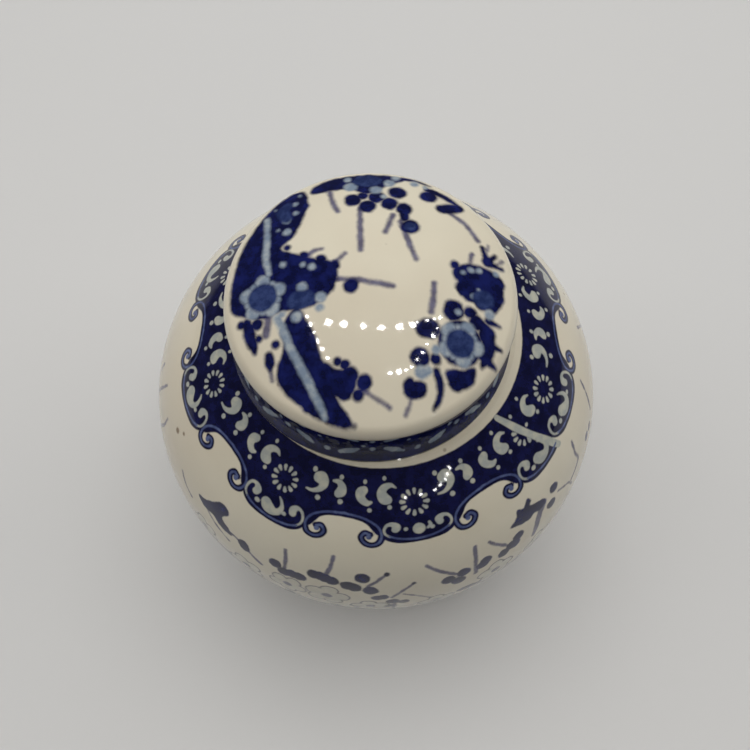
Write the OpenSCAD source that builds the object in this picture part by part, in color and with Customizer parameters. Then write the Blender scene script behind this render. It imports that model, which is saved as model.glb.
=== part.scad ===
// Porcelain ginger jar with a loose cap lid.
// +Z up, origin at the centre of the foot, on the surface that it stands on.

/* [Part] */
// The piece to build, or all of them together

/* [Jar body] */
// Greatest diameter of the belly
body_d = 115; // [104:1:138]
// Height of the widest line above the table
belly_h = 62.4; // [54:0.2:72]
// Rise of the shoulder's crown above the widest line, before the neck cuts it
crown_rise = 46; // [40:0.5:54]
// How much tighter the belly's rounding is than that rise, which flattens the shoulder
shoulder_slack = 6; // [4:0.5:10]
// Thickness of the porcelain in the belly and the shoulder
wall = 4; // [3:0.5:5]
// Thickness of the floor
floor_wall = 5; // [4:0.5:8]

/* [Foot] */
// Outer diameter of the foot ring
foot_d = 68; // [60:1:76]
// Height of the foot ring
foot_h = 5; // [4:0.5:8]
// Width of the foot ring where it stands
foot_rim = 5; // [4:0.5:8]
// Depth of the hollow inside the foot ring
foot_recess = 3; // [2:0.5:3.5]

/* [Neck] */
// Diameter of the mouth
mouth_d = 41.6; // [35:0.2:50]
// Thickness of the neck's wall
neck_wall = 3.5; // [3:0.1:4]
// Height of the neck above the seat
neck_h = 9.4; // [6:0.2:11.4]
// Width of the flat seat that shows outside the lid's skirt
seat_ledge = 0.1; // [0:0.1:3]
// Thickness of the porcelain under the seat
seat_wall = 4; // [3:0.5:5]

/* [Lid] */
// Thickness of the lid's wall at its waist
skirt_wall = 2.5; // [2:0.1:4]
// How far the lip stands out past the waist
lip_over = 1.3; // [0.8:0.1:3]
// Height of the lid above the seat
lid_h = 23.6; // [20:0.2:30]
// Height of the lip's widest line above the seat
lip_h = 13.8; // [12:0.1:15.6]
// Rounding of the lip, seen from the side
lip_round = 3.4; // [2.5:0.1:4]
// How far the skirt's foot stands out past the waist
skirt_flare = 2.1; // [1.5:0.1:4]
// Height of the waist above the seat
waist_h = 9.8; // [8:0.1:10.8]
// Height of the plain edge at the skirt's foot
skirt_edge = 1; // [0.6:0.1:1.5]
// Thickness of the lid's dome
lid_wall = 3.2; // [2.6:0.1:4]
// Room between the neck and the lid, all round
neck_gap = 2.4; // [2:0.1:2.5]
// How far the loose lid has slid sideways on the seat
lid_shift_x = -0.9; // [-1.2:0.1:1.2]
// How far the loose lid has slid back on the seat
lid_shift_y = 0.5; // [-1.2:0.1:1.2]

/* [Hidden] */

turn_fn = 72;
arc_fn = 90;
small_fn = 32;
over = 1;

body_r = body_d / 2;
foot_r = foot_d / 2;
mouth_r = mouth_d / 2;
neck_r = mouth_r + neck_wall;
floor_z = foot_recess + floor_wall;

// The lid's sizes go outward from its bore, which clears the neck.
bore_r = neck_r + neck_gap;
waist_r = bore_r + skirt_wall;
lid_r = waist_r + lip_over;
skirt_r = waist_r + skirt_flare;
seat_r = skirt_r + seat_ledge;

// The shoulder is a sphere that the belly's rounding meets without an edge.
belly_curve = crown_rise - shoulder_slack;
belly_x = body_r - belly_curve;
shoulder_r = (belly_x * belly_x + crown_rise * crown_rise - belly_curve * belly_curve)
    / (2 * shoulder_slack);
shoulder_z = belly_h + crown_rise - shoulder_r;
join_sin = belly_x / (shoulder_r - belly_curve);
seat_z = shoulder_z + sqrt(shoulder_r * shoulder_r - seat_r * seat_r);
neck_top = seat_z + neck_h;

// The lower belly is one arc from the widest line to the top of the foot.
foot_in = body_r - foot_r;
foot_drop = belly_h - foot_h;
lower_r = (foot_in * foot_in + foot_drop * foot_drop) / (2 * foot_in);
lower_x = body_r - lower_r;

lip_x = lid_r - lip_round;
lip_z = seat_z + lip_h;
lid_top = seat_z + lid_h;
dome_rise = lid_h - lip_h;
dome_r = (lip_x * lip_x + dome_rise * dome_rise - lip_round * lip_round)
    / (2 * (dome_rise - lip_round));
dome_z = lid_top - dome_r;
waist_z = seat_z + waist_h;
flare_drop = waist_h - skirt_edge;
cove_r = (skirt_flare * skirt_flare + flare_drop * flare_drop) / (2 * skirt_flare);

glaze_cream = [0.84, 0.82, 0.72];

// A rectangle from x0 to x1 and from z0 to z1.
module span(x0, x1, z0, z1) {
    translate([x0, z0])
        square([x1 - x0, z1 - z0]);
}

// The half section of the belly and shoulder, taken in from the outside by "inset"
// and cut level at "bottom" and at "top".
module belly_half(inset, bottom, top) {
    join_x = (shoulder_r - inset) * join_sin;
    intersection() {
        translate([0, shoulder_z])
            circle(r = shoulder_r - inset, $fn = arc_fn);
        span(0, join_x, belly_h, top);
    }
    intersection() {
        translate([belly_x, belly_h])
            circle(r = belly_curve - inset, $fn = arc_fn);
        span(0, body_r, belly_h, top);
    }
    intersection() {
        translate([lower_x, belly_h])
            circle(r = lower_r - inset, $fn = arc_fn);
        span(0, body_r, bottom, belly_h);
    }
}

// The half section of the hollow inside the jar.
module hollow_half() {
    belly_half(wall, floor_z, seat_z - seat_wall);
}

// The neck, with a rounded top.
module neck_half() {
    top_r = neck_wall / 2;
    span(mouth_r, neck_r, belly_h, neck_top - top_r);
    translate([mouth_r + top_r, neck_top - top_r])
        circle(r = top_r, $fn = small_fn);
}

// The foot ring, with a small round at its outer edge.
module foot_half() {
    edge = foot_rim / 4;
    span(0, foot_r - edge, 0, foot_h);
    span(0, foot_r, edge, foot_h);
    translate([foot_r - edge, edge])
        circle(r = edge, $fn = small_fn);
}

module jar_body() {
    color(glaze_cream)
    rotate_extrude($fn = turn_fn)
    difference() {
        union() {
            difference() {
                union() {
                    belly_half(0, foot_h, seat_z);
                    foot_half();
                }
                hollow_half();
                span(-over, mouth_r, belly_h, neck_top + over);
            }
            difference() {
                neck_half();
                hollow_half();
            }
        }
        span(-over, foot_r - foot_rim, -over, foot_recess);
    }
}

// The lid's outside, as a half section.
module lid_outer_half() {
    intersection() {
        translate([0, dome_z])
            circle(r = dome_r, $fn = arc_fn);
        span(0, dome_r * lip_x / (dome_r - lip_round), lip_z, lid_top + over);
    }
    translate([lip_x, lip_z])
        circle(r = lip_round, $fn = small_fn);
    span(0, waist_r, waist_z, lip_z);
    difference() {
        span(0, skirt_r, seat_z, waist_z);
        translate([waist_r + cove_r, waist_z])
            circle(r = cove_r, $fn = arc_fn);
    }
}

// The lid's hollow: a round bore with a domed ceiling.
module lid_hollow_half() {
    ceiling_r = dome_r - lid_wall;
    ceiling_edge = dome_z + sqrt(ceiling_r * ceiling_r - bore_r * bore_r);
    span(-over, bore_r, seat_z - over, ceiling_edge);
    intersection() {
        translate([0, dome_z])
            circle(r = ceiling_r, $fn = arc_fn);
        span(-over, bore_r, ceiling_edge - over, lid_top);
    }
}

module lid() {
    color(glaze_cream)
    translate([lid_shift_x, lid_shift_y, 0])
    rotate_extrude($fn = turn_fn)
    difference() {
        lid_outer_half();
        lid_hollow_half();
    }
}

jar_body();
lid();
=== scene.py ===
"""Porcelain ginger jar with a loose cap lid: turned shells, a printed collar and painted plum blossom."""

import sys
import logging
import math
from dataclasses import dataclass, field
from enum import Enum

import bpy
import numpy as np
from mathutils import Matrix, Vector


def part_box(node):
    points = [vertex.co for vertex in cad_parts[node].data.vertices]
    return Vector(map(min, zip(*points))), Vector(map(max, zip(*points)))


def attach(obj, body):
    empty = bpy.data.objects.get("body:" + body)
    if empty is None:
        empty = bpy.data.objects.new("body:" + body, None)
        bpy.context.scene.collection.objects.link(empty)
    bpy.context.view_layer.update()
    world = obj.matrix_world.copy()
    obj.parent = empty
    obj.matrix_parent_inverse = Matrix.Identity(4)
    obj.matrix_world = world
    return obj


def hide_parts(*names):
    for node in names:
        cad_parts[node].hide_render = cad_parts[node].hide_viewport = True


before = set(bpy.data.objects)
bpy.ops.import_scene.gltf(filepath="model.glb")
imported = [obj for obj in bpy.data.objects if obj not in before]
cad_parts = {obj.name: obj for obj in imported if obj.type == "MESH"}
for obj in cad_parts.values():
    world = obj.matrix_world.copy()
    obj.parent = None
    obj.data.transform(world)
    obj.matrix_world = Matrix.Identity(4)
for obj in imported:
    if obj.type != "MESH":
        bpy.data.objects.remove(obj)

LOG = logging.getLogger("ginger_jar")
MM = 0.001
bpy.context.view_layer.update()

Dab = tuple[float, float, float]
Spot = tuple[float, float]


class Ink(Enum):
    """The coats of colour under the glaze, in the order they are laid."""

    WASH = "ink_wash"
    DARK = "ink_dark"
    PALE = "ink_pale"
    OVER = "ink_over"
    SPECK = "ink_speck"


class Slot(Enum):
    """The record's material slots."""

    JAR = "jar_glaze"
    LID = "lid_glaze"


def tone(red: int, green: int, blue: int) -> tuple[float, float, float, float]:
    """A colour given as it shows on a screen, turned to linear light.

    Args:
        red, green, blue: Values from 0 to 255.

    Returns:
        The linear colour with full alpha.
    """
    parts = [v / 255.0 for v in (red, green, blue)]
    line = [p / 12.92 if p <= 0.04045 else ((p + 0.055) / 1.055) ** 2.4 for p in parts]
    return (line[0], line[1], line[2], 1.0)


# ---------------------------------------------------------------- turned shells


@dataclass
class Section:
    """A half section of a turned shell, in millimetres.

    It is drawn up the outside and down the inside, so that the shell is always on its left.
    """

    run: float = 0.0
    corner: float = 0.01
    rows: list[tuple[float, float, float, float, float]] = field(default_factory=list)

    def _add(self, x: float, z: float, out_x: float, out_z: float) -> None:
        """Adds a point; the run falls as the section goes on.

        Args:
            x, z: Its distance from the axis and its height.
            out_x, out_z: The way it faces.
        """
        if self.rows:
            last = self.rows[-1]
            gap = math.hypot(x - last[0], z - last[1])
            if gap < 1e-6:
                if out_x * last[2] + out_z * last[3] > 0.999:
                    return
                gap = self.corner
                x, z = x - out_z * gap, z + out_x * gap
            self.run -= gap
        self.rows.append((x, z, out_x, out_z, self.run))

    def line(self, start: Spot, end: Spot, step: float) -> "Section":
        """Draws a straight run.

        Args:
            start: Where it begins, as distance from the axis and height.
            end: Where it ends.
            step: The longest gap between points.

        Returns:
            The section itself.
        """
        dx, dz = end[0] - start[0], end[1] - start[1]
        length = math.hypot(dx, dz)
        count = max(1, math.ceil(length / step))
        for i in range(count + 1):
            t = i / count
            self._add(start[0] + dx * t, start[1] + dz * t, dz / length, -dx / length)
        return self

    def arc(self, centre: Spot, radius: float, start: float, end: float, step: float) -> "Section":
        """Draws part of a circle.

        Args:
            centre: The circle's centre.
            radius: Its radius.
            start: The first angle in radians, 0 pointing away from the axis.
            end: The last angle.
            step: The longest gap between points.

        Returns:
            The section itself.
        """
        side = 1.0 if end > start else -1.0
        count = max(2, math.ceil(abs(end - start) * radius / step))
        for i in range(count + 1):
            t = start + (end - start) * i / count
            c, s = math.cos(t), math.sin(t)
            self._add(centre[0] + radius * c, centre[1] + radius * s, side * c, side * s)
        return self

    def mesh(self, name: str) -> bpy.types.Mesh:
        """Makes the section into a chain of edges that carries its facing and run.

        Args:
            name: The mesh's name.

        Returns:
            The mesh.
        """
        rows = np.array(self.rows)
        edges = [(i, i + 1) for i in range(len(rows) - 1)]
        made = bpy.data.meshes.new(name)
        spots = np.zeros((len(rows), 3))
        spots[:, 0], spots[:, 2] = rows[:, 0] * MM, rows[:, 1] * MM
        made.from_pydata(spots.tolist(), edges, [])
        facing = np.zeros((len(rows), 3), np.float32)
        facing[:, 0], facing[:, 2] = rows[:, 2], rows[:, 3]
        made.attributes.new("facing", "FLOAT_VECTOR", "POINT").data.foreach_set("vector", facing.ravel())
        run = rows[:, 4].astype(np.float32)
        made.attributes.new("run", "FLOAT", "POINT").data.foreach_set("value", run)
        return made


class Wiring:
    """Adds nodes to a tree and joins them, so that a tree reads as one list of steps."""

    def __init__(self, tree: bpy.types.NodeTree) -> None:
        """Starts on an empty tree."""
        self.tree = tree
        self.count = 0

    def sockets(self, way: str, kinds: dict[str, str]) -> None:
        """Adds sockets to the tree's face.

        Args:
            way: INPUT or OUTPUT.
            kinds: What each socket carries, by the socket's name.
        """
        for name, kind in kinds.items():
            self.tree.interface.new_socket(name, in_out=way, socket_type="NodeSocket" + kind)

    def node(self, kind: str, links: dict | None = None, **settings: object) -> bpy.types.Node:
        """Adds a node.

        Args:
            kind: The node's type.
            links: Values or sockets for its inputs, by name or number.
            settings: The node's own settings.

        Returns:
            The new node.
        """
        made = self.tree.nodes.new(kind)
        made.location = (180.0 * (self.count % 12), -220.0 * (self.count // 12))
        self.count += 1
        for key, value in settings.items():
            setattr(made, key, value)
        for key, value in (links or {}).items():
            target = made.inputs[key]
            if isinstance(value, bpy.types.NodeSocket):
                self.tree.links.new(value, target)
            else:
                target.default_value = value
        return made

    def math(self, kind: str, *values: object) -> bpy.types.NodeSocket:
        """Returns the result of a sum on numbers or sockets; kind is the sum's name."""
        return self.node("ShaderNodeMath", dict(enumerate(values)), operation=kind).outputs[0]

    def mix(self, part: object, first: object, second: object) -> bpy.types.NodeSocket:
        """Returns a colour between two, second by the given part."""
        made = self.node("ShaderNodeMix", {0: part, 6: first, 7: second}, data_type="RGBA")
        return made.outputs[2]

    def ramp(self, value: object, low: object, high: object) -> bpy.types.NodeSocket:
        """Returns 0 where the value is at low, 1 where it is at high, and a smooth step between."""
        links = {"Value": value, "From Min": low, "From Max": high}
        return self.node("ShaderNodeMapRange", links, interpolation_type="SMOOTHSTEP").outputs[0]


class Wheel:
    """Turns a half section into a shell, as on a potter's wheel, with a Geometry Nodes tree."""

    def __init__(self) -> None:
        """Builds the tree once for all the shells."""
        tree = bpy.data.node_groups.new("potters_wheel", "GeometryNodeTree")
        w = Wiring(tree)
        face = {"Geometry": "Geometry", "Steps Round": "Int", "Slide": "Vector", "Glaze": "Material"}
        w.sockets("INPUT", face)
        w.sockets("OUTPUT", {"Geometry": "Geometry"})
        given = w.node("NodeGroupInput").outputs
        chain, steps = given["Geometry"], given["Steps Round"]
        rows = w.node("GeometryNodeAttributeDomainSize", {0: chain}).outputs["Point Count"]
        columns = w.math("ADD", steps, 1.0)
        grid = w.node("GeometryNodeMeshGrid", {"Vertices X": columns, "Vertices Y": rows})
        index = w.node("GeometryNodeInputIndex").outputs[0]
        column = w.math("FLOOR", w.math("DIVIDE", w.math("ADD", index, 0.5), rows))
        row = w.math("SUBTRACT", index, w.math("MULTIPLY", column, rows))
        turn = w.math("MULTIPLY", w.math("DIVIDE", column, steps), 2.0 * math.pi)
        spot = w.node("GeometryNodeInputPosition").outputs[0]
        place = self._turned(w, chain, row, turn, spot)
        out = w.node("GeometryNodeInputNamedAttribute", {"Name": "facing"}, data_type="FLOAT_VECTOR")
        facing = self._turned(w, chain, row, turn, out.outputs[0])
        run = w.node("GeometryNodeInputNamedAttribute", {"Name": "run"}, data_type="FLOAT")
        sample = w.node("GeometryNodeSampleIndex", {0: chain, 1: run.outputs[0], 2: row}, data_type="FLOAT")
        moved = w.node("ShaderNodeVectorMath", {0: place, 1: given["Slide"]}, operation="ADD").outputs[0]
        shell = w.node("GeometryNodeSetPosition", {"Geometry": grid.outputs[0], "Position": moved})
        kept = {"Geometry": shell.outputs[0], "Name": "facing", "Value": facing}
        shell = w.node("GeometryNodeStoreNamedAttribute", kept, data_type="FLOAT_VECTOR")
        kept = {"Geometry": shell.outputs[0], "Name": "run", "Value": sample.outputs[0]}
        shell = w.node("GeometryNodeStoreNamedAttribute", kept, data_type="FLOAT")
        shell = w.node("GeometryNodeMergeByDistance", {"Geometry": shell.outputs[0], "Distance": 2e-6})
        shell = w.node("GeometryNodeSetShadeSmooth", {"Geometry": shell.outputs[0]})
        shell = w.node("GeometryNodeRealizeInstances", {"Geometry": shell.outputs[0]})
        links = {"Geometry": shell.outputs[0], "Material": given["Glaze"]}
        shell = w.node("GeometryNodeSetMaterial", links)
        w.node("NodeGroupOutput", {"Geometry": shell.outputs[0]})
        self.tree = tree

    @staticmethod
    def _turned(w: Wiring, chain: object, row: object, turn: object, value: object) -> bpy.types.NodeSocket:
        """Takes a vector from the section's row and turns it round the axis.

        Args:
            w: The tree's wiring.
            chain: The section.
            row: The number of the section's point.
            turn: The angle in radians.
            value: The vector on the section.

        Returns:
            The turned vector.
        """
        links = {0: chain, 1: value, 2: row}
        taken = w.node("GeometryNodeSampleIndex", links, data_type="FLOAT_VECTOR")
        links = {"Vector": taken.outputs[0], "Angle": turn}
        return w.node("ShaderNodeVectorRotate", links, rotation_type="Z_AXIS").outputs[0]

    def shell(
        self, name: str, section: Section, steps: int, glaze: bpy.types.Material, slide: Vector
    ) -> bpy.types.Object:
        """Turns one shell.

        Args:
            name: The piece's name.
            section: Its half section.
            steps: How many faces go round it.
            glaze: Its material.
            slide: How far its axis stands from the frame's axis, in metres.

        Returns:
            The finished piece, at the origin.
        """
        host = bpy.data.objects.new(name + "_section", section.mesh(name + "_section"))
        bpy.context.scene.collection.objects.link(host)
        change = host.modifiers.new("wheel", "NODES")
        change.node_group = self.tree
        values = {"Steps Round": steps, "Slide": tuple(slide), "Glaze": glaze}
        for item in self.tree.interface.items_tree:
            if item.in_out == "INPUT" and item.name in values:
                change[item.identifier] = values[item.name]
        depsgraph = bpy.context.evaluated_depsgraph_get()
        made = bpy.data.meshes.new_from_object(host.evaluated_get(depsgraph))
        host.modifiers.remove(change)
        bpy.data.objects.remove(host)
        made.name = name
        facing = np.zeros(len(made.vertices) * 3, np.float32)
        made.attributes["facing"].data.foreach_get("vector", facing)
        made.attributes.remove(made.attributes["facing"])
        made.normals_split_custom_set_from_vertices(facing.reshape(-1, 3))
        piece = bpy.data.objects.new(name, made)
        bpy.context.scene.collection.objects.link(piece)
        return piece


# ---------------------------------------------------------------- brushwork


def smooth_path(points: list[Dab], step: float) -> np.ndarray:
    """Draws a smooth curve through brush points.

    Args:
        points: Each one's two coordinates and the brush's half width there, in millimetres.
        step: The gap between the dabs made.

    Returns:
        One row for each dab: its place and half width.
    """
    raw = np.array(points, float)
    if len(raw) == 1:
        return raw
    ends = np.vstack([2 * raw[0] - raw[1], raw, 2 * raw[-1] - raw[-2]])
    out = [raw[:1]]
    for i in range(1, len(ends) - 2):
        a, b, c, d = ends[i - 1 : i + 3]
        count = max(1, math.ceil(math.hypot(*(c - b)[:2]) / step))
        t = (np.arange(1, count + 1) / count)[:, None]
        bend = 2 * b + (c - a) * t + (2 * a - 5 * b + 4 * c - d) * t**2 + (3 * b - a - 3 * c + d) * t**3
        out.append(bend / 2)
    path = np.vstack(out)
    path[:, 2] = np.maximum(path[:, 2], 0.05)
    return path


def dab_distance(spots: np.ndarray, dabs: np.ndarray, limit: float) -> np.ndarray:
    """How far each spot is from the nearest edge of the dabs, negative inside them.

    Args:
        spots: Places on the flat sheet, in millimetres.
        dabs: One row for each dab: its place and radius.
        limit: Distances beyond this aren't told apart.

    Returns:
        One distance for each spot.
    """
    out = np.full(len(spots), limit)
    tile = 6.0
    key = np.floor(spots / tile).astype(int)
    _, group = np.unique(key, axis=0, return_inverse=True)
    order = np.argsort(group.ravel(), kind="stable")
    cuts = np.flatnonzero(np.diff(group.ravel()[order])) + 1
    for part in np.split(order, cuts):
        middle = (key[part[0]] + 0.5) * tile
        gap = np.hypot(*(dabs[:, :2] - middle).T) - dabs[:, 2]
        near = dabs[gap < tile * 0.71 + limit]
        for start in range(0, len(part) if len(near) else 0, 4000):
            some = part[start : start + 4000]
            away = spots[some, None, :] - near[None, :, :2]
            far = np.sqrt((away**2).sum(-1)) - near[None, :, 2]
            out[some] = np.minimum(out[some], far.min(1))
    return out


def fill_distance(spots: np.ndarray, outline: np.ndarray, limit: float) -> np.ndarray:
    """How far each spot is from a closed outline, negative inside it.

    Args:
        spots: Places on the flat sheet, in millimetres.
        outline: The outline's corners.
        limit: Distances beyond this aren't told apart.

    Returns:
        One distance for each spot.
    """
    out = np.full(len(spots), limit)
    low, high = outline.min(0) - limit, outline.max(0) + limit
    near = np.flatnonzero(((spots > low) & (spots < high)).all(1))
    for start in range(0, len(near), 20000):
        some = near[start : start + 20000]
        p = spots[some]
        best, inside = np.full(len(p), 1e9), np.zeros(len(p), bool)
        for a, b in zip(outline, np.roll(outline, -1, axis=0)):
            side = b - a
            t = np.clip(((p - a) @ side) / max(side @ side, 1e-9), 0, 1)
            best = np.minimum(best, ((p - a - t[:, None] * side) ** 2).sum(1))
            if a[1] != b[1]:
                cross = (a[1] > p[:, 1]) != (b[1] > p[:, 1])
                inside ^= cross & (p[:, 0] < side[0] * (p[:, 1] - a[1]) / side[1] + a[0])
        far = np.sqrt(best)
        out[some] = np.minimum(np.where(inside, -far, far), limit)
    return out


@dataclass
class Sheet:
    """A flat sheet of brushwork, in millimetres, kept by ink."""

    limit: float = 2.0
    step: float = 0.2
    dabs: dict[Ink, list[np.ndarray]] = field(default_factory=lambda: {ink: [] for ink in Ink})
    fills: dict[Ink, list[np.ndarray]] = field(default_factory=lambda: {ink: [] for ink in Ink})

    def stroke(self, ink: Ink, *points: Dab) -> None:
        """Lays a brush stroke through the points, each with its half width."""
        self.dabs[ink].append(smooth_path(list(points), self.step))

    def line(self, ink: Ink, half: float, *spots: Spot) -> None:
        """Lays a stroke of one width."""
        self.stroke(ink, *[(x, y, half) for x, y in spots])

    def dot(self, ink: Ink, x: float, y: float, radius: float) -> None:
        """Lays a round dab."""
        self.dabs[ink].append(np.array([(x, y, radius)]))

    def oval(self, ink: Ink, x: float, y: float, long: float, short: float, turn: float) -> None:
        """Lays an oval dab.

        Args:
            ink: The ink.
            x, y: Its centre.
            long, short: Its half widths.
            turn: The direction of its length in degrees.
        """
        reach = long - short
        c, s = reach * math.cos(math.radians(turn)), reach * math.sin(math.radians(turn))
        self.stroke(ink, (x - c, y - s, short * 0.9), (x, y, short), (x + c, y + s, short * 0.9))

    def fill(self, ink: Ink, *outline: Spot) -> None:
        """Fills a smooth closed outline.

        Args:
            ink: The ink.
            outline: The outline's points.
        """
        ring = [(x, y, 1.0) for x, y in outline]
        path = smooth_path(ring[-2:] + ring + ring[:2], 0.8)
        first = np.flatnonzero(np.hypot(*(path[:, :2] - outline[0]).T) < 1e-6)
        self.fills[ink].append(path[first[0] : first[-1], :2] if len(first) > 1 else path[:, :2])

    def area(self, ink: Ink, outline: np.ndarray) -> None:
        """Fills an outline with straight sides."""
        self.fills[ink].append(outline)

    def blossom(self, x: float, y: float, size: float, turn: float, heart: Ink = Ink.OVER) -> None:
        """Lays a plum blossom with five pale petals in a thin outline.

        Args:
            x, y: Its centre.
            size: Its radius.
            turn: The first petal's direction in degrees.
            heart: The ink of the middle.
        """
        for i in range(5):
            a = math.radians(turn + 72 * i)
            px, py = x + 0.6 * size * math.cos(a), y + 0.6 * size * math.sin(a)
            self.dot(Ink.DARK, px, py, size * 0.44)
            self.dot(Ink.PALE, px, py, size * 0.44 - 0.28)
        self.dot(Ink.PALE, x, y, size * 0.4)
        self.dot(heart, x, y, size * 0.24)

    def buds(self, *buds: Dab) -> None:
        """Lays round dark buds."""
        for x, y, radius in buds:
            self.dot(Ink.DARK, x, y, radius)

    def spray(self, x: float, y: float, size: float, turn: float, seed: int) -> None:
        """Lays a plum branch with twigs, buds and blossoms.

        Args:
            x, y: Where the branch begins.
            size: Its length.
            turn: Its direction in degrees.
            seed: Fixes the choice of twigs.
        """
        pick = np.random.default_rng(seed)
        a, here, spots = math.radians(turn), np.array([x, y]), []
        for i in range(6):
            spots.append((here[0], here[1], 0.034 * size * (1.15 - 0.16 * i)))
            a += math.radians(pick.uniform(-26, 26))
            here = here + size / 5.5 * np.array([math.cos(a), math.sin(a)])
            side = -1 if i % 2 else 1
            b = a + side * math.radians(pick.uniform(38, 70))
            reach = size * pick.uniform(0.2, 0.36)
            tip = here + reach * np.array([math.cos(b), math.sin(b)])
            self.line(Ink.WASH, 0.42, tuple(here), tuple((here + tip) / 2 + 0.3), tuple(tip))
            if i % 2 == 0:
                near = here + 0.55 * (tip - here)
                self.blossom(near[0], near[1], size * 0.105, pick.uniform(0, 72))
            for _ in range(3):
                spread = pick.uniform(-0.13, 0.13, 2) * size
                self.buds((tip[0] + spread[0], tip[1] + spread[1], pick.uniform(1.0, 1.6)))
        self.stroke(Ink.DARK, *spots)

    def distance(self, ink: Ink, spots: np.ndarray) -> np.ndarray:
        """Measures how far spots are from an ink's edge.

        Args:
            ink: The ink.
            spots: Places on the sheet.

        Returns:
            One distance for each spot, negative inside the ink.
        """
        out = np.full(len(spots), self.limit)
        if self.dabs[ink]:
            out = np.minimum(out, dab_distance(spots, np.vstack(self.dabs[ink]), self.limit))
        for outline in self.fills[ink]:
            out = np.minimum(out, fill_distance(spots, outline, self.limit))
        return out

    def print_on(self, piece: bpy.types.Object, spots: np.ndarray) -> None:
        """Stores every ink's distance on the piece.

        Args:
            piece: The piece that takes the print.
            spots: Where each of its points falls on the sheet.
        """
        for ink in Ink:
            far = self.distance(ink, spots).astype(np.float32)
            piece.data.attributes.new(ink.value, "FLOAT", "POINT").data.foreach_set("value", far)


def flat_points(piece: bpy.types.Object, slide: Vector) -> tuple[np.ndarray, np.ndarray, np.ndarray]:
    """Reads where a shell's points lie.

    Args:
        piece: The shell.
        slide: How far its axis stands from the frame's axis.

    Returns:
        The points from the shell's own axis in millimetres, their turn in degrees, and their run.
    """
    count = len(piece.data.vertices)
    co, run = np.zeros(count * 3, np.float32), np.zeros(count, np.float32)
    piece.data.vertices.foreach_get("co", co)
    piece.data.attributes["run"].data.foreach_get("value", run)
    spots = (co.reshape(-1, 3) - np.array(slide)) / MM
    return spots, np.degrees(np.arctan2(spots[:, 1], spots[:, 0])) % 360.0, run


# ---------------------------------------------------------------- the printed and painted sheets


class Lobe(Enum):
    """How far a lobe of the collar hangs down, as a pull on its lower edge in millimetres."""

    DEEP = 0.0
    SHALLOW = 1.6


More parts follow.
